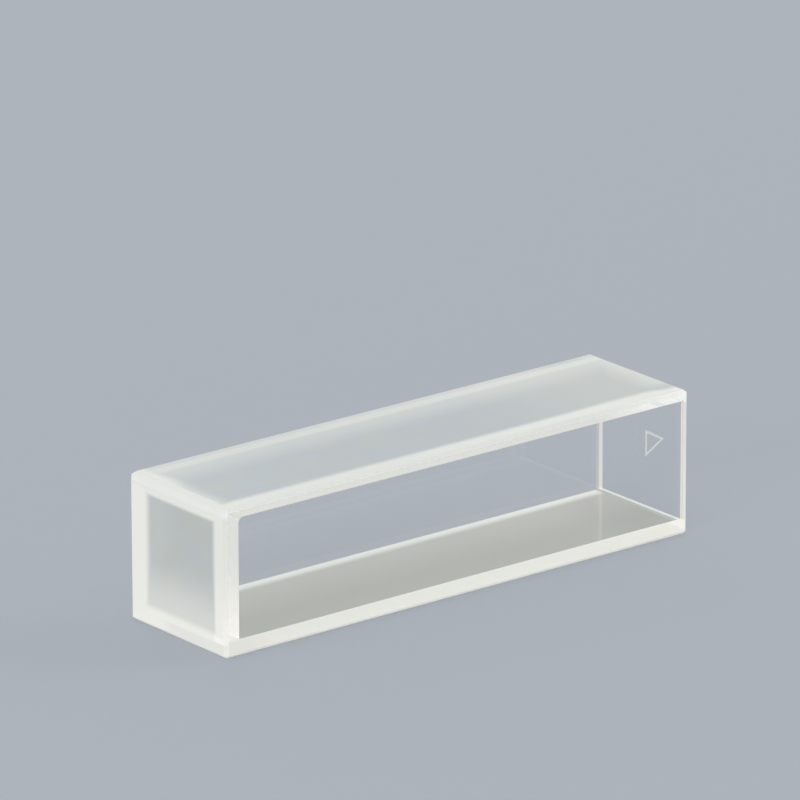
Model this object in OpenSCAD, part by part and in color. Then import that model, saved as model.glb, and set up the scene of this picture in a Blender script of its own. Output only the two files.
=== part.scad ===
// Rectangular spectrophotometer cuvette, lying on one of its ground side plates.
//
// The cell is five fused-quartz plates. Two polished windows stand between two ground
// side plates and make a square tube, and a thicker base plate is set into one end of
// it, flush with the four walls. The other end is the mouth. After fusing, the whole cell
// is ground and chamfered to its outline, so every plate is its own block cut by one
// common envelope.
//
// Millimetres. +X runs from the base to the mouth, the windows face -Y and +Y, and
// +Z is up. The origin is the centre of the face that the cell lies on.

/* [Cell] */
// Length from the base's outer face to the rim of the mouth
cell_length = 48; // [30:0.5:60]
// Outside width, window to window
cell_width = 12.5; // [8:0.5:20]
// Outside height, side plate to side plate
cell_height = 12.5; // [8:0.5:20]

/* [Plates] */
// Thickness of each polished window
window_thickness = 1.25; // [1:0.05:2]
// Thickness of each ground side plate
side_thickness = 1.15; // [1.1:0.05:2]
// Thickness of the base plate
base_thickness = 1.9; // [1.2:0.1:3]
// Radius of the fillet where the base plate has fused to the upper side plate
fused_fillet = 0.5; // [0.3:0.1:1]

/* [Edges] */
// Width of the chamfer along the outer edges
edge_chamfer = 0.3; // [0.1:0.05:0.5]
// Width of the finer chamfer where the windows meet the rim of the mouth
rim_chamfer = 0.2; // [0.1:0.05:0.5]
// Radius of the softer edge between the base's end face and the upper side
base_edge_radius = 0.8; // [0.5:0.1:1.1]
// Width of the chamfer round the inside of the mouth
mouth_chamfer = 0.15; // [0.05:0.05:0.3]

/* [Hidden] */
$fn = 64;
// The ends of the cell, the inner face of the base, and the faces of the well
base_x = -cell_length / 2;
mouth_x = cell_length / 2;
well_x = base_x + base_thickness;
front_y = -cell_width / 2;
well_width = cell_width - 2 * window_thickness;
well_height = cell_height - 2 * side_thickness;
// How far a cutter runs past the faces that it cuts
over = 1;

// A rectangle with its lower left corner at the origin, its left corners chamfered by one
// width and its right corners by another.
module chamfered_rectangle(size, left, right) {
    polygon([
        [left, 0], [size.x - right, 0],
        [size.x, right], [size.x, size.y - right],
        [size.x - right, size.y], [left, size.y],
        [0, size.y - left], [0, left]
    ]);
}

// The cell seen from in front, in X and Z: chamfered, with a rounder corner at the top of the base.
module side_outline() {
    r = base_edge_radius;
    corner = [base_x, cell_height];
    difference() {
        translate([base_x, 0])
            chamfered_rectangle([cell_length, cell_height], edge_chamfer, edge_chamfer);
        translate(corner + [-over, -r])
            square([r + over, r + over]);
    }
    intersection() {
        translate(corner + [0, -r])
            square([r, r]);
        translate(corner + [r, -r])
            circle(r);
    }
}

// The outside of the finished cell: its outlines from the front, the end and above, crossed.
module cell_envelope() {
    intersection() {
        translate([0, cell_width / 2, 0])
            rotate([90, 0, 0])
                linear_extrude(cell_width) side_outline();
        translate([base_x, 0, 0])
            rotate([90, 0, 90])
                linear_extrude(cell_length)
                    translate([front_y, 0])
                        chamfered_rectangle([cell_width, cell_height], edge_chamfer, edge_chamfer);
        linear_extrude(cell_height)
            translate([base_x, front_y])
                chamfered_rectangle([cell_length, cell_width], edge_chamfer, rim_chamfer);
    }
}

// Wedges that flare two facing edges of the mouth. The edges are apart in Y, run along Z
// for span, and lie evenly about the axis.
module flared_edges(apart, span) {
    for (side = [0, 1])
        mirror([0, side, 0])
            translate([mouth_x, apart / 2, -span / 2])
                linear_extrude(span)
                    polygon([[-mouth_chamfer, 0], [over, -over], [over, mouth_chamfer + over]]);
}

// The flare that breaks the four inner edges of the mouth.
module mouth_flare() {
    translate([0, 0, cell_height / 2]) {
        flared_edges(well_width, well_height);
        rotate([90, 0, 0]) flared_edges(well_height, well_width);
    }
}

// A plate of the cell: a rectangular block, ground to the envelope and flared at the mouth.
module plate(corner, size) {
    difference() {
        intersection() {
            translate(corner) cube(size);
            cell_envelope();
        }
        mouth_flare();
    }
}

module window(side) {
    y = side < 0 ? front_y : -front_y - window_thickness;
    plate([base_x, y, side_thickness], [cell_length, window_thickness, well_height]);
}

module side_plate(z) {
    plate([base_x, front_y, z], [cell_length, cell_width, side_thickness]);
}

// The bead of quartz that ran into the corner between the base plate and the ceiling of the well.
module fused_bead() {
    r = fused_fillet;
    translate([well_x, well_width / 2, cell_height - side_thickness - r])
        rotate([90, 0, 0])
            linear_extrude(well_width)
                difference() {
                    square(r);
                    translate([r, 0]) circle(r);
                }
}

module front_window() {
    color([0.86, 0.93, 0.96, 0.35]) window(-1);
}

module back_window() {
    color([0.86, 0.93, 0.96, 0.35]) window(1);
}

module upper_side_plate() {
    color([0.80, 0.82, 0.84]) side_plate(cell_height - side_thickness);
}

module lower_side_plate() {
    color([0.74, 0.74, 0.72]) side_plate(0);
}

module base_plate() {
    color([0.90, 0.91, 0.90]) {
        plate([base_x, -well_width / 2, side_thickness], [base_thickness, well_width, well_height]);
        fused_bead();
    }
}

front_window();
back_window();
upper_side_plate();
lower_side_plate();
base_plate();
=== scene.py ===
"""Looks of a rectangular fused-quartz cuvette, dressed over its five packed plates.

Every plate is rebuilt from its packed box, with the edges that the finished cell was
ground to, so that each of its faces can have its own finish: polished, ground or fused.
"""

import collections
import math

import bmesh
import bpy
from mathutils import Matrix, Vector

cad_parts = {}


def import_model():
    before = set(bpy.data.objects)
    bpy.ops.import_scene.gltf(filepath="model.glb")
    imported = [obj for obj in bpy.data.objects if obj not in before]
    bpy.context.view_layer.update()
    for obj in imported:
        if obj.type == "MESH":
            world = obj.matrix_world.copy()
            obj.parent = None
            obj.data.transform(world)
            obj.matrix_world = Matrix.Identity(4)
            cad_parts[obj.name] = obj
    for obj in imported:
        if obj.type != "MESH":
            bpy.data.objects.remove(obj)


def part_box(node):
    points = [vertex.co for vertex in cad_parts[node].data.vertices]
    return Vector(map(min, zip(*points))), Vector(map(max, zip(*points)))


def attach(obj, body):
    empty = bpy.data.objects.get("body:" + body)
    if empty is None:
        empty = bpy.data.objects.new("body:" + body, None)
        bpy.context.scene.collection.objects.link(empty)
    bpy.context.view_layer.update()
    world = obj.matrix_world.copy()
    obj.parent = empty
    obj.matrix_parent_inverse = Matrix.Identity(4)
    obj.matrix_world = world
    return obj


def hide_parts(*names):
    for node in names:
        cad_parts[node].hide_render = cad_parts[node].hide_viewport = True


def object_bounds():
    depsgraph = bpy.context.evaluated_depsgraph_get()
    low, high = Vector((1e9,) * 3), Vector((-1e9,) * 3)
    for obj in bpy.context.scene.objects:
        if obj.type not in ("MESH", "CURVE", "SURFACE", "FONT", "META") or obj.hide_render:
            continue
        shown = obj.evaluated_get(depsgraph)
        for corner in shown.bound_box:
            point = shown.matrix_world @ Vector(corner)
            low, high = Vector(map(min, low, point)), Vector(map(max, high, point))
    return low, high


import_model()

CAD_BOUNDS = [list(corner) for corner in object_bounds()]
MM = 0.001

# The fillet where the base plate has fused to the upper side plate
FUSED_FILLET = 0.5 * MM
FILLET_STEPS = 8

# The cell's own planes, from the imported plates: each is an axis and a place on it
CELL_LOW, CELL_HIGH = (Vector(corner) for corner in CAD_BOUNDS)
BASE, MOUTH = (0, CELL_LOW.x), (0, CELL_HIGH.x)
FRONT, BACK = (1, CELL_LOW.y), (1, CELL_HIGH.y)
UNDER, OVER = (2, CELL_LOW.z), (2, CELL_HIGH.z)
BEAD_END = (0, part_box("base_plate")[1].x)
WELL_END = (0, BEAD_END[1] - FUSED_FILLET)
WELL_FRONT = (1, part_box("front_window")[1].y)
WELL_BACK = (1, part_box("back_window")[0].y)
WELL_FLOOR = (2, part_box("lower_side_plate")[1].z)
WELL_CEILING = (2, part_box("upper_side_plate")[0].z)

# The edges that the finished cell was ground to
EDGE_CHAMFER = 0.3 * MM
RIM_CHAMFER = 0.2 * MM
MOUTH_CHAMFER = 0.15 * MM
BASE_EDGE_RADIUS = 0.8 * MM
BASE_EDGE_STEPS = 10
CHAMFERS = (
    (FRONT, OVER, EDGE_CHAMFER), (BACK, OVER, EDGE_CHAMFER),
    (FRONT, UNDER, EDGE_CHAMFER), (BACK, UNDER, EDGE_CHAMFER),
    (FRONT, BASE, EDGE_CHAMFER), (BACK, BASE, EDGE_CHAMFER),
    (UNDER, BASE, EDGE_CHAMFER),
    (OVER, MOUTH, EDGE_CHAMFER), (UNDER, MOUTH, EDGE_CHAMFER),
    (FRONT, MOUTH, RIM_CHAMFER), (BACK, MOUTH, RIM_CHAMFER),
)
# A point this near to a plane lies on it
NEAR = 0.001 * MM
# A face is square to an axis if its normal has more than SQUARE along it, and runs along the
# axis if its normal has less than ALONG
SQUARE = 0.999
ALONG = 0.1

# The etched orientation mark: a plain triangle near the mouth, on the front window
MARK_X, MARK_Z = 20.1 * MM, 8.85 * MM
MARK_RADIUS = 1.35 * MM
MARK_LINE = 0.19 * MM
MARK_DEPTH = 0.01 * MM

# The quartz, and the patterns of its finishes, whose scales are to the millimetre
QUARTZ_IOR = 1.46
GROUND_ROUGHNESS = 0.6
ETCHED_ROUGHNESS = 0.7
GRAIN_SCALE = 9.0
GRAIN_STRENGTH = 0.25
GRAIN_DEPTH = 0.01 * MM
CLOUD_SCALE = 0.35
ETCH_SCALE = 14.0
# The share of a lamp's light that a ground face lets into the cell
LET_IN = 0.65


# ---------------------------------------------------------------- shader maths

class Signal:
    """One output socket of a node tree. Arithmetic on it adds Math nodes."""

    def __init__(self, net, socket):
        self.net = net
        self.socket = socket

    def math(self, operation, *values):
        return self.net.node("ShaderNodeMath", {"operation": operation}, dict(enumerate(values)))

    def __add__(self, other):
        return self.math("ADD", self, other)

    def __sub__(self, other):
        return self.math("SUBTRACT", self, other)

    def __rsub__(self, other):
        return self.math("SUBTRACT", other, self)

    def __mul__(self, other):
        return self.math("MULTIPLY", self, other)

    __radd__ = __add__
    __rmul__ = __mul__

    def at_least(self, other):
        return self.math("MAXIMUM", self, other)

    def fade(self, start, end):
        """0 up to start, 1 from end on, and a smooth step between them."""
        return self.net.node("ShaderNodeMapRange", {"interpolation_type": "SMOOTHSTEP"},
                             {"Value": self, "From Min": start, "From Max": end})


# A change of tone over a face: from the first tone to the second, by the share of the second.
# Either tone can be a blend itself.
Blend = collections.namedtuple("Blend", "share first second")


class Net:
    """The node tree of one material, or of the world."""

    def __init__(self, owner):
        self.owner = owner
        owner.use_nodes = True
        self.tree = owner.node_tree
        self.tree.nodes.clear()

    def node(self, kind, settings=None, sockets=None, output=0):
        """Adds a node with its settings, and then with the values or links of its sockets."""
        made = self.tree.nodes.new(kind)
        for name, value in (settings or {}).items():
            setattr(made, name, value)
        for name, value in (sockets or {}).items():
            if isinstance(value, Signal):
                self.tree.links.new(value.socket, made.inputs[name])
            else:
                made.inputs[name].default_value = value
        return Signal(self, made.outputs[output])

    def position(self):
        """The place on the cell, in millimetres, as a vector and as its three parts."""
        place = self.node("ShaderNodeTexCoord", output="Object")
        scaled = self.node("ShaderNodeVectorMath", {"operation": "SCALE"},
                           {"Vector": place, "Scale": 1 / MM})
        split_up = self.node("ShaderNodeSeparateXYZ", sockets={"Vector": scaled})
        parts = split_up.socket.node.outputs
        return scaled, Signal(self, parts["X"]), Signal(self, parts["Y"]), Signal(self, parts["Z"])

    def ray(self, kind):
        """1 for rays of one kind, such as Is Shadow Ray."""
        return self.node("ShaderNodeLightPath", output=kind)

    def noise(self, place, scale, detail):
        return self.node("ShaderNodeTexNoise", sockets={"Vector": place, "Scale": scale, "Detail": detail})

    def colour(self, tones):
        """One tone, or a blend of tones, as a colour."""
        if not isinstance(tones, Blend):
            return tones
        return self.node("ShaderNodeMix", {"data_type": "RGBA"},
                         {0: tones.share, 6: self.colour(tones.first), 7: self.colour(tones.second)},
                         output=2)

    def mixed(self, share, first, second):
        return self.node("ShaderNodeMixShader", sockets={0: share, 1: first, 2: second})

    def scattering(self, kind, tones):
        """A diffuse or translucent shader of each tone, mixed as the tones are blended."""
        if not isinstance(tones, Blend):
            return self.node(kind, sockets={"Color": tones})
        return self.mixed(tones.share, self.scattering(kind, tones.first),
                          self.scattering(kind, tones.second))

    def clear(self, share):
        """Lets this share of the light straight through."""
        return self.node("ShaderNodeBsdfTransparent", sockets={"Color": (share, share, share, 1)})

    def finish(self, shader, output="ShaderNodeOutputMaterial"):
        """Ends the tree with this shader, and gives back the material or the world."""
        end = self.tree.nodes.new(output)
        self.tree.links.new(shader.socket, end.inputs["Surface"])
        return self.owner


def tone(red, green, blue):
    """A colour written as 0 to 255 on screen, as the linear colour that a shader takes."""
    def linear(value):
        value /= 255
        return value / 12.92 if value <= 0.04045 else ((value + 0.055) / 1.055) ** 2.4
    return (linear(red), linear(green), linear(blue), 1.0)


# ---------------------------------------------------------------- finishes

# Tones of the ground quartz, as on screen, with light and shade painted in. Over solid quartz it is
# white, a painted glow of light that comes through the glass, and over the empty well it is a cooler
# grey, painted shade.
# Upper face: a white painted glow, a blue and green painted shade over the well, and the mouth tones
# painted lighter
UPPER_WHITE = tone(233, 234, 229)
UPPER_WHITE_MOUTH = tone(239, 240, 235)
UPPER_BLUE = tone(191, 198, 203)
UPPER_GREEN = tone(194, 199, 199)
UPPER_MOUTH = tone(203, 207, 205)
# End face: a white painted glow, a warm painted glow low at the front and at the base, and a blue and
# green painted shade
END_WHITE = tone(238, 237, 230)
END_WARM_GLOW = tone(249, 246, 239)
END_BLUE = tone(186, 190, 192)
END_GREEN = tone(187, 191, 188)
# Lower face: a grey painted shade under the well, darker still at the mouth, and a white painted glow
LOWER_GREY = tone(170, 170, 162)
LOWER_MOUTH_SHADE = tone(161, 161, 154)
LOWER_WHITE = tone(252, 252, 247)
# Ground edges: white, with a painted highlight along the upper edges
EDGE_WHITE = tone(238, 238, 234)
EDGE_HIGHLIGHT = tone(252, 252, 248)
# Painted shade on ground edges seen through the glass: dim at the front window's flare, grey at the mouth
EDGE_DIM_HIGH = tone(232, 208, 200)
EDGE_DIM_LOW = tone(206, 203, 194)
EDGE_PALE = tone(243, 243, 238)
EDGE_SHADE_GREY = tone(200, 200, 196)
ETCHED_GREY = tone(222, 223, 222)
# What ground quartz shows from inside where it mirrors: light that has wandered in the glass
UPPER_TRAPPED = tone(225, 226, 220)
UPPER_TRAPPED_MOUTH = tone(243, 243, 239)
LOWER_TRAPPED = tone(233, 233, 227)
LOWER_TRAPPED_BASE = tone(226, 226, 220)
LOWER_TRAPPED_DEEP = tone(246, 244, 238)
END_TRAPPED = tone(226, 225, 219)
END_TRAPPED_LOW = tone(246, 243, 236)
ROUNDED_TRAPPED = tone(230, 229, 224)
FOOT_TRAPPED = tone(255, 254, 250)
EDGE_TRAPPED = tone(230, 230, 226)
EDGE_TRAPPED_HIGH = tone(255, 255, 252)
EDGE_TRAPPED_LOW = tone(243, 242, 236)
# Light that the walls pipe to the ground edges, most of it to the upper edges at the mouth
PIPED = (0.25, 0.25, 0.235, 1.0)
UNLIT = (0.0, 0.0, 0.0, 1.0)


# How the tones lie on each face. A fade runs between two places in millimetres, along x from
# the base to the mouth, along y from front to back or along z upwards. The factors are shares
# of the second tone.

def plain(colour):
    """One tone all over."""
    return lambda net, place, x, y, z: colour


def clouded(net, place, first, second):
    """The faint cloudy change from one tone to the other over a ground face."""
    return Blend(net.noise(place, CLOUD_SCALE, 4.0).fade(0.35, 0.65), first, second)


def upper_tones(net, place, x, y, z):
    """Painted light: white where light comes through the windows, the base plate and the rim,
    and greyer painted shade over the well, both lighter towards the mouth.
    """
    front = 1 - (y - x.fade(8.0, 19.0) * 0.2 + x.fade(21.0, 23.0) * 0.45).fade(-5.2, -4.25)
    outermost = y.fade(5.1, 5.6) * (x.fade(14.0, 21.0) * 0.3 + 0.24)
    back = y.fade(0.5, 4.2) * 0.38 + y.fade(4.0, 4.6) * 0.34 - outermost
    base = (1 - (x - y.fade(-1.0, 3.0) * 0.45).fade(-23.9, -21.8)) * (0.8 + y.fade(-1.0, 3.0) * 0.3)
    rim = x.fade(20.5, 23.5) * y.fade(-4.6, -3.0) * 0.45
    over_well = Blend(x.fade(4.0, 19.0), clouded(net, place, UPPER_BLUE, UPPER_GREEN), UPPER_MOUTH)
    white = Blend(x.fade(-12.0, 18.0), UPPER_WHITE, UPPER_WHITE_MOUTH)
    return Blend(front.at_least(back).at_least(base).at_least(rim), over_well, white)


def upper_trapped_tones(net, place, x, y, z):
    return Blend(x.fade(17.0, 23.5), UPPER_TRAPPED, UPPER_TRAPPED_MOUTH)


def lower_tones(net, place, x, y, z):
    """Painted light: bright where light comes through the feet of the two windows, and greyer
    painted shade under the well, darker towards the mouth.
    """
    back = y.fade(-1.0, 4.2) * 0.12 + y.fade(4.25, 5.4) * 0.75
    front = (1 - y.fade(-5.4, -4.25)) * 0.85
    under_well = Blend(x.fade(16.5, 21.0), LOWER_GREY, LOWER_MOUTH_SHADE)
    return Blend(back.at_least(front), under_well, LOWER_WHITE)


def lower_trapped_tones(net, place, x, y, z):
    """Brighter deep in the cell, away from the front window."""
    shallow = Blend(x.fade(-22.5, -17.0), LOWER_TRAPPED_BASE, LOWER_TRAPPED)
    return Blend(y.fade(-1.6, 0.3), shallow, LOWER_TRAPPED_DEEP)


def end_tones(net, place, x, y, z):
    """Painted light: white where light comes through the ends of the four walls, and greyer painted
    shade on the base plate down to its foot, with a warm painted glow low at the front.
    """
    front = (1 - y.fade(-5.1, -4.45)) * 0.86
    back = y.fade(3.3, 4.3) * 0.92 + y.fade(0.0, 2.5) * 0.08
    top = z.fade(11.0, 11.45) * 0.92
    under = (1 - z.fade(2.0, 7.0)) * 0.5 + (1 - z.fade(1.45, 2.2)) * 0.5
    lower_plate = (1 - z.fade(1.0, 1.25)) * (1 - y.fade(0.0, 3.0)) * 0.2
    low_front = (1 - z.fade(1.5, 8.0)) * (1 - y.fade(-5.0, -4.5)) * z.fade(1.0, 1.3)
    white = Blend(low_front, END_WHITE, END_WARM_GLOW)
    return Blend(front.at_least(back).at_least(top).at_least(under) - lower_plate,
                 clouded(net, place, END_BLUE, END_GREEN), white)


def end_trapped_tones(net, place, x, y, z):
    return Blend(z.fade(0.3, 7.0), END_TRAPPED_LOW, END_TRAPPED)


def edge_tones(net, place, x, y, z):
    """Painted light: a warm glow low down at the base, and a painted highlight along the upper edges."""
    low_base = (1 - z.fade(1.5, 8.0)) * (1 - x.fade(-23.0, -22.0)) * z.fade(1.0, 1.3)
    return Blend(z.fade(11.5, 12.1), Blend(low_base, EDGE_WHITE, END_WARM_GLOW), EDGE_HIGHLIGHT)


def edge_through_tones(net, place, x, y, z):
    """Painted shade: dimmer at the flare of the front window, and grey at the chamfers under and
    behind the mouth.
    """
    dim = (1 - y.fade(-5.2, -5.0)) * z.fade(1.1, 1.2) * x.fade(23.0, 23.5)
    under = 1 - z.fade(0.28, 0.32)
    behind = y.fade(6.02, 6.08) * (1 - z.fade(11.3, 11.4))
    pale = Blend(under.at_least(behind) * x.fade(23.6, 23.7), EDGE_PALE, EDGE_SHADE_GREY)
    return Blend(dim, pale, Blend(z.fade(3.0, 9.5), EDGE_DIM_LOW, EDGE_DIM_HIGH))


def edge_trapped_tones(net, place, x, y, z):
    low = Blend(z.fade(1.1, 1.2), EDGE_TRAPPED_LOW, EDGE_TRAPPED)
    return Blend(z.fade(11.3, 11.4), low, EDGE_TRAPPED_HIGH)


def edge_piped_tones(net, place, x, y, z):
    along = x.fade(-20.0, -12.0) * 0.2 + x.fade(12.0, 22.5) * z.fade(11.9, 12.2) * 0.8
    return Blend(along, UNLIT, PIPED)


def polished_quartz():
    """Clear quartz that bends what is seen through it, and lets lamps and soft light straight in."""
    net = Net(bpy.data.materials.new("polished_quartz"))
    glass = net.node("ShaderNodeBsdfPrincipled", sockets={
        "Base Color": (1, 1, 1, 1), "Roughness": 0.0, "IOR": QUARTZ_IOR, "Transmission Weight": 1.0})
    for kind in ("Is Diffuse Ray", "Is Shadow Ray"):
        glass = net.mixed(net.ray(kind), glass, net.clear(1))
    return net.finish(glass)


def fused_joint():
    """The faces where two plates have fused, of which nothing shows."""
    net = Net(bpy.data.materials.new("fused_joint"))
    return net.finish(net.clear(1))


def milky(net, tones, glow):
    """Light scattered back by a ground face, and a share of it that glows through from behind."""
    return net.mixed(glow, net.scattering("ShaderNodeBsdfDiffuse", tones),
                     net.scattering("ShaderNodeBsdfTranslucent", tones))


def ground_quartz(name, outer, inner, trapped, glow, trapped_glow, lit_from_within=0.25, piped=None):
    """Ground quartz. Outer gives its tones from outside. From inside the glass it has the
    inner tones where the view goes through it, and the trapped tones where it mirrors. The
    glows are the shares of light from behind in those two, lit_from_within is the same from
    outside, and piped is light of its own."""
    net = Net(bpy.data.materials.new(name))
    place, *spot = net.position()
    relief = net.node("ShaderNodeBump", sockets={
        "Strength": GRAIN_STRENGTH, "Distance": GRAIN_DEPTH, "Height": net.noise(place, GRAIN_SCALE, 3.0)})
    outer_tones = outer(net, place, *spot)
    shine = {}
    if piped:
        shine = {"Emission Color": net.colour(piped(net, place, *spot)), "Emission Strength": 1.0}
    skin = net.node("ShaderNodeBsdfPrincipled", sockets={
        "Base Color": net.colour(outer_tones), "Roughness": GROUND_ROUGHNESS, "IOR": QUARTZ_IOR,
        "Normal": relief, **shine})
    outside = net.mixed(lit_from_within, skin, net.scattering("ShaderNodeBsdfTranslucent", outer_tones))
    through = milky(net, inner(net, place, *spot), glow)
    mirrored = milky(net, trapped(net, place, *spot), trapped_glow)
    inside = net.mixed(net.node("ShaderNodeFresnel", sockets={"IOR": QUARTZ_IOR}), through, mirrored)
    surface = net.mixed(net.node("ShaderNodeNewGeometry", output="Backfacing"), outside, inside)
    return net.finish(net.mixed(net.ray("Is Shadow Ray"), surface, net.clear(LET_IN)))


def etched_quartz():
    """Bare grey of a mark etched into a polished face, with a fine grain."""
    net = Net(bpy.data.materials.new("etched_quartz"))
    place, *_ = net.position()
    grain = Blend(net.noise(place, ETCH_SCALE, 2.0), ETCHED_GREY, UPPER_WHITE)
    return net.finish(net.node("ShaderNodeBsdfPrincipled", sockets={
        "Base Color": net.colour(grain), "Roughness": ETCHED_ROUGHNESS, "IOR": QUARTZ_IOR}))


POLISHED = polished_quartz()
FUSED = fused_joint()
GROUND_UPPER = ground_quartz("ground_upper_face", upper_tones, upper_tones, upper_trapped_tones,
                             glow=0.85, trapped_glow=0.85)
GROUND_LOWER = ground_quartz("ground_lower_face", lower_tones, lower_tones, lower_trapped_tones,
                             glow=0.0, trapped_glow=0.0)
GROUND_END = ground_quartz("ground_end_face", end_tones, plain(END_WHITE), end_trapped_tones,
                           glow=0.85, trapped_glow=0.85)
GROUND_ROUNDED = ground_quartz("ground_rounded_edge", edge_tones, plain(EDGE_PALE), plain(ROUNDED_TRAPPED),
                               glow=0.85, trapped_glow=0.85, lit_from_within=0.6)
GROUND_FOOT = ground_quartz("ground_foot_edge", edge_tones, plain(EDGE_PALE), plain(FOOT_TRAPPED),
                            glow=0.4, trapped_glow=0.0, lit_from_within=0.6)
GROUND_EDGE = ground_quartz("ground_edges", edge_tones, edge_through_tones, edge_trapped_tones,
                            glow=0.4, trapped_glow=0.3, lit_from_within=0.6, piped=edge_piped_tones)
FINISHES = (POLISHED, FUSED, GROUND_UPPER, GROUND_LOWER, GROUND_END, GROUND_ROUNDED, GROUND_FOOT,
            GROUND_EDGE)


# ---------------------------------------------------------------- plates

def on_plane(points, plane):
    """Whether every point lies on the plane."""
    axis, value = plane
    return all(abs(point[axis] - value) < NEAR for point in points)


def outward(plane):
    """The unit normal that points out of the cell through one of its planes."""
    axis, value = plane
    normal = Vector((0, 0, 0))
    normal[axis] = 1 if value > (CELL_LOW[axis] + CELL_HIGH[axis]) / 2 else -1
    return normal


def block(low, high):
    """A rectangular block between two corners."""
    bm = bmesh.new()
    bmesh.ops.create_cube(bm, size=1)
    bmesh.ops.scale(bm, vec=high - low, verts=bm.verts)
    bmesh.ops.translate(bm, vec=(low + high) / 2, verts=bm.verts)
    return bm


def all_of(bm):
    return list(bm.verts) + list(bm.edges) + list(bm.faces)


def grind(bm, point, normal):
    """Takes off what lies beyond a plane, and closes the cut."""
    cut = bmesh.ops.bisect_plane(bm, geom=all_of(bm), dist=NEAR, plane_co=point, plane_no=normal,
                                 clear_outer=True)["geom_cut"]
    edges = [part for part in cut if isinstance(part, bmesh.types.BMEdge)]
    if edges:
        bmesh.ops.contextual_create(bm, geom=edges)


def grind_edge(bm, first, second, width):
    """Chamfers the edge between two planes, whose outward normals are added."""
    point = Vector((0, 0, 0))
    point[first[0]] = first[1]
    point[second[0]] = second[1]
    point -= outward(first) * width
    grind(bm, point, outward(first) + outward(second))


def round_base_edge(bm):
    """Rounds the edge between the base and the upper side by grinding one flat after another."""
    centre = Vector((BASE[1] + BASE_EDGE_RADIUS, 0, OVER[1] - BASE_EDGE_RADIUS))
    step = math.pi / 2 / BASE_EDGE_STEPS
    for flat in range(BASE_EDGE_STEPS):
        start, middle = flat * step, (flat + 0.5) * step
        point = centre + Vector((-math.cos(start), 0, math.sin(start))) * BASE_EDGE_RADIUS
        grind(bm, point, Vector((-math.cos(middle), 0, math.sin(middle))))


def split(bm, *planes):
    """Cuts the faces along each plane, so that each side can have its own finish."""
    for axis, value in planes:
        normal = Vector((0, 0, 0))
        normal[axis] = 1
        bmesh.ops.bisect_plane(bm, geom=all_of(bm), dist=NEAR, plane_co=normal * value, plane_no=normal)


def flare(bm, inner):
    """Chamfers the edge of the mouth that lies between the windows, on one side plate."""
    edges = [edge for edge in bm.edges
             if on_plane([v.co for v in edge.verts], MOUTH) and on_plane([v.co for v in edge.verts], inner)
             and all(WELL_FRONT[1] - NEAR < v.co.y < WELL_BACK[1] + NEAR for v in edge.verts)]
    bmesh.ops.bevel(bm, geom=edges, offset=MOUTH_CHAMFER, offset_type="OFFSET", segments=1,
                    profile=0.5, affect="EDGES", material=-1)


def ground_block(node):
    """The block of one plate, ground to the outline of the finished cell."""
    bm = block(*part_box(node))
    round_base_edge(bm)
    for first, second, width in CHAMFERS:
        grind_edge(bm, first, second, width)
    return bm


def finish_of(face):
    """The finish of one face of a wall of the cell."""
    centre = face.calc_center_median()
    points = [v.co for v in face.verts]
    beside_well = not WELL_FRONT[1] < centre.y < WELL_BACK[1]
    for plane, joint_end in ((WELL_CEILING, BEAD_END[1]), (WELL_FLOOR, WELL_END[1])):
        if on_plane(points, plane):
            return FUSED if beside_well or centre.x < joint_end else POLISHED
    if on_plane(points, WELL_FRONT) or on_plane(points, WELL_BACK):
        return FUSED if centre.x < WELL_END[1] else POLISHED
    if on_plane(points, FRONT) or on_plane(points, BACK):
        return POLISHED
    for plane, finish in ((OVER, GROUND_UPPER), (UNDER, GROUND_LOWER), (BASE, GROUND_END)):
        if on_plane(points, plane):
            return finish
    if centre.x < WELL_END[1] and abs(face.normal.y) < ALONG:
        return GROUND_ROUNDED if face.normal.z > 0 else GROUND_FOOT
    return GROUND_EDGE


def base_finish_of(face):
    """The finish of one face of the base plate, which only its two ends leave free."""
    centre = face.calc_center_median()
    points = [v.co for v in face.verts]
    if on_plane(points, BASE):
        return GROUND_END
    if abs(face.normal.y) > SQUARE and centre.x > WELL_END[1]:
        return GROUND_EDGE
    if any(on_plane(points, plane) for plane in (WELL_FRONT, WELL_BACK, WELL_FLOOR, WELL_CEILING)):
        return FUSED
    return POLISHED


def mesh_object(name, bm, materials):
    """The finished mesh as an object in the scene."""
    mesh = bpy.data.meshes.new(name)
    bm.to_mesh(mesh)
    bm.free()
    for material in materials:
        mesh.materials.append(material)
    made = bpy.data.objects.new(name, mesh)
    bpy.context.scene.collection.objects.link(made)
    return made


def piece_for(node, bm, finish):
    """The mesh as an object that stands for the node, with a finish on each face."""
    bm.normal_update()
    for face in bm.faces:
        face.material_index = FINISHES.index(finish(face))
    piece = mesh_object(node + "_quartz", bm, FINISHES)
    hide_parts(node)
    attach(piece, "root")


def window(node, inner):
    """A window, flared where its inner face meets the mouth."""
    bm = ground_block(node)
    flare_start = Vector((MOUTH[1] - MOUTH_CHAMFER, inner[1], 0))
    grind(bm, flare_start, outward(MOUTH) - outward(inner))
    split(bm, WELL_END)
    piece_for(node, bm, finish_of)


def side_plate(node, inner):
    """A side plate, whose inner face is polished over the well and fused round it."""
    bm = ground_block(node)
    split(bm, WELL_FRONT, WELL_BACK, WELL_END)
    if inner == WELL_CEILING:
        split(bm, BEAD_END)
    flare(bm, inner)
    piece_for(node, bm, finish_of)


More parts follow.
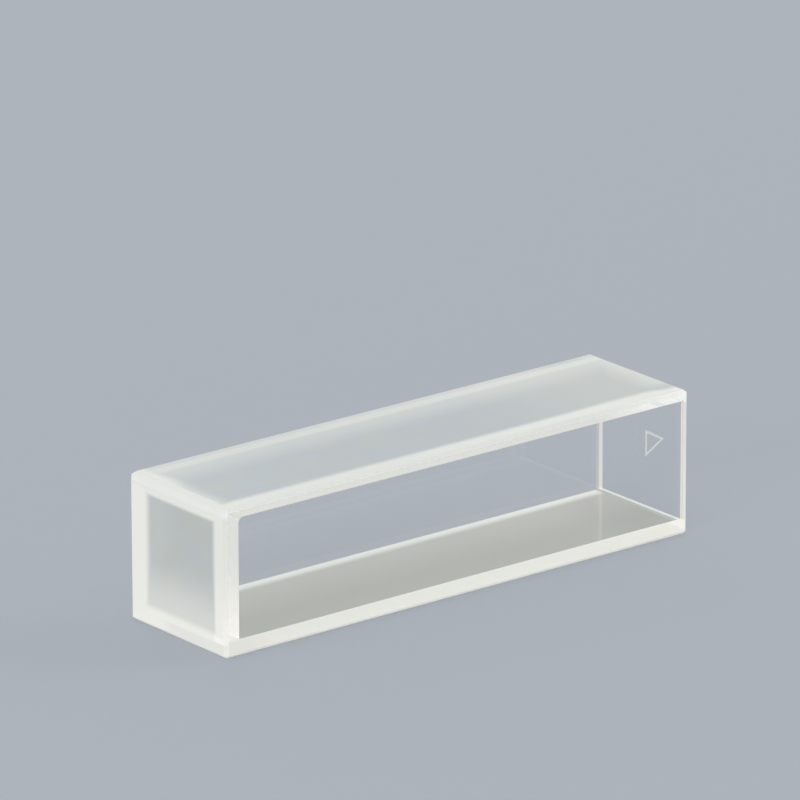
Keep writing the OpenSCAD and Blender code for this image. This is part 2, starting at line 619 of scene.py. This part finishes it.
def base_plate():
    """A block with the fillet that runs along the top of its inner face."""
    low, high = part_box("base_plate")
    bm = bmesh.new()
    foot = bm.verts.new((WELL_END[1], low.y, high.z - FUSED_FILLET))
    bmesh.ops.spin(bm, geom=[foot], cent=(high.x, low.y, high.z - FUSED_FILLET), axis=(0, 1, 0),
                   angle=math.pi / 2, steps=FILLET_STEPS)
    for corner in ((low.x, low.y, high.z), (low.x, low.y, low.z), (WELL_END[1], low.y, low.z)):
        bm.verts.new(corner)
    bm.verts.ensure_lookup_table()
    ring = list(bm.verts)
    open_ends = ring[FILLET_STEPS:]
    for first, second in zip(open_ends, open_ends[1:] + [ring[0]]):
        bm.edges.new((first, second))
    profile = bmesh.ops.contextual_create(bm, geom=list(bm.edges))["faces"]
    block_parts = bmesh.ops.extrude_face_region(bm, geom=profile)["geom"]
    moved = [part for part in block_parts if isinstance(part, bmesh.types.BMVert)]
    bmesh.ops.translate(bm, vec=(0, high.y - low.y, 0), verts=moved)
    bmesh.ops.recalc_face_normals(bm, faces=bm.faces)
    piece_for("base_plate", bm, base_finish_of)


def etched_mark():
    """The outline of a triangle that points to the mouth, half sunk in the front window's face."""
    bm = bmesh.new()
    bmesh.ops.create_circle(bm, cap_ends=True, segments=3, radius=MARK_RADIUS)
    bmesh.ops.inset_region(bm, faces=list(bm.faces), thickness=MARK_LINE, use_boundary=True,
                           use_even_offset=True)
    middle = max((face for face in bm.faces if len(face.verts) == 3), key=lambda face: face.calc_area())
    bmesh.ops.delete(bm, geom=[middle], context="FACES_ONLY")
    raised = bmesh.ops.extrude_face_region(bm, geom=list(bm.faces))["geom"]
    moved = [part for part in raised if isinstance(part, bmesh.types.BMVert)]
    bmesh.ops.translate(bm, vec=(0, 0, MARK_DEPTH), verts=moved)
    bmesh.ops.rotate(bm, cent=(0, 0, 0), matrix=Matrix.Rotation(-math.pi / 2, 3, "Z"), verts=bm.verts)
    bmesh.ops.rotate(bm, cent=(0, 0, 0), matrix=Matrix.Rotation(math.pi / 2, 3, "X"), verts=bm.verts)
    bmesh.ops.translate(bm, vec=(MARK_X, FRONT[1] + MARK_DEPTH / 2, MARK_Z), verts=bm.verts)
    bmesh.ops.recalc_face_normals(bm, faces=bm.faces)
    piece = mesh_object("etched_mark", bm, [etched_quartz()])
    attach(piece, "root")


window("front_window", WELL_FRONT)
window("back_window", WELL_BACK)
side_plate("upper_side_plate", WELL_CEILING)
side_plate("lower_side_plate", WELL_FLOOR)
base_plate()
etched_mark()


# ---------------------------------------------------------------- studio

# Where the camera stands, in degrees round the cell from its front and above it, and how it is
# turned and moved aside. FOCAL_PIXELS is its lens, in pixels of a picture PICTURE pixels wide.
AZIMUTH = -38.734
ELEVATION = 18.493
ROLL = -0.121
DISTANCE = 728.6 * MM
AIM_RIGHT = -1.0 * MM
AIM_UP = 8.35 * MM
SENSOR = 36.0
FOCAL_PIXELS = 8985.9
PICTURE = 800

FLOOR_TONE = tone(168, 174, 182)
FLOOR_REACH = 6
FLOOR_GAP = 0.02 * MM
AMBIENT = 0.8
LAMP_DISTANCE = 0.9
LAMP_SIZE = 0.5


def direction(azimuth, elevation):
    """The direction of what stands this many degrees round the cell from its front, and above it."""
    a, e = math.radians(azimuth), math.radians(elevation)
    return Vector((math.sin(a) * math.cos(e), -math.cos(a) * math.cos(e), math.sin(e)))


def camera():
    """The camera, which looks a little past the middle of the cell."""
    data = bpy.data.cameras.new("camera")
    data.sensor_width = SENSOR
    data.lens = FOCAL_PIXELS / PICTURE * SENSOR
    data.clip_start = 0.01
    data.clip_end = 100
    back = direction(AZIMUTH, ELEVATION)
    right = Vector((0, 0, 1)).cross(back).normalized()
    up = back.cross(right)
    roll = math.radians(ROLL)
    turned_right = right * math.cos(roll) + up * math.sin(roll)
    turned_up = up * math.cos(roll) - right * math.sin(roll)
    middle = (CELL_LOW + CELL_HIGH) / 2
    place = middle + back * DISTANCE + turned_right * AIM_RIGHT + turned_up * AIM_UP
    turn = Matrix((turned_right, turned_up, back)).transposed().to_4x4()
    obj = bpy.data.objects.new("camera", data)
    obj.matrix_world = Matrix.Translation(place) @ turn
    bpy.context.scene.collection.objects.link(obj)
    bpy.context.scene.camera = obj


def floor():
    """A plain pale floor, a hair below the cell."""
    bm = bmesh.new()
    bmesh.ops.create_grid(bm, x_segments=1, y_segments=1, size=FLOOR_REACH)
    net = Net(bpy.data.materials.new("floor"))
    matt = net.finish(net.node("ShaderNodeBsdfDiffuse", sockets={"Color": FLOOR_TONE}))
    obj = mesh_object("floor", bm, [matt])
    obj.location.z = -FLOOR_GAP


def world():
    """Soft light from all round. Seen directly or in the glass, it is as pale as the floor."""
    net = Net(bpy.data.worlds.new("studio"))
    in_glass = net.ray("Is Singular Ray") - net.ray("Is Diffuse Ray")
    seen = net.ray("Is Camera Ray").at_least(in_glass)
    light = net.colour(Blend(seen, (AMBIENT, AMBIENT, AMBIENT, 1), FLOOR_TONE))
    background = net.node("ShaderNodeBackground", sockets={"Color": light})
    bpy.context.scene.world = net.finish(background, "ShaderNodeOutputWorld")


def softbox(name, azimuth, elevation, power):
    data = bpy.data.lights.new(name, "AREA")
    data.shape = "SQUARE"
    data.size = LAMP_SIZE
    data.energy = power
    back = direction(azimuth, elevation)
    obj = bpy.data.objects.new(name, data)
    obj.location = back * LAMP_DISTANCE
    obj.rotation_euler = back.to_track_quat("Z", "Y").to_euler()
    bpy.context.scene.collection.objects.link(obj)


camera()
floor()
world()
softbox("left_softbox", -75, 15, 3.8)
softbox("right_softbox", 65, 28, 1.5)
softbox("back_softbox", 170, 28, 1.5)
bpy.context.scene.view_settings.view_transform = "Standard"
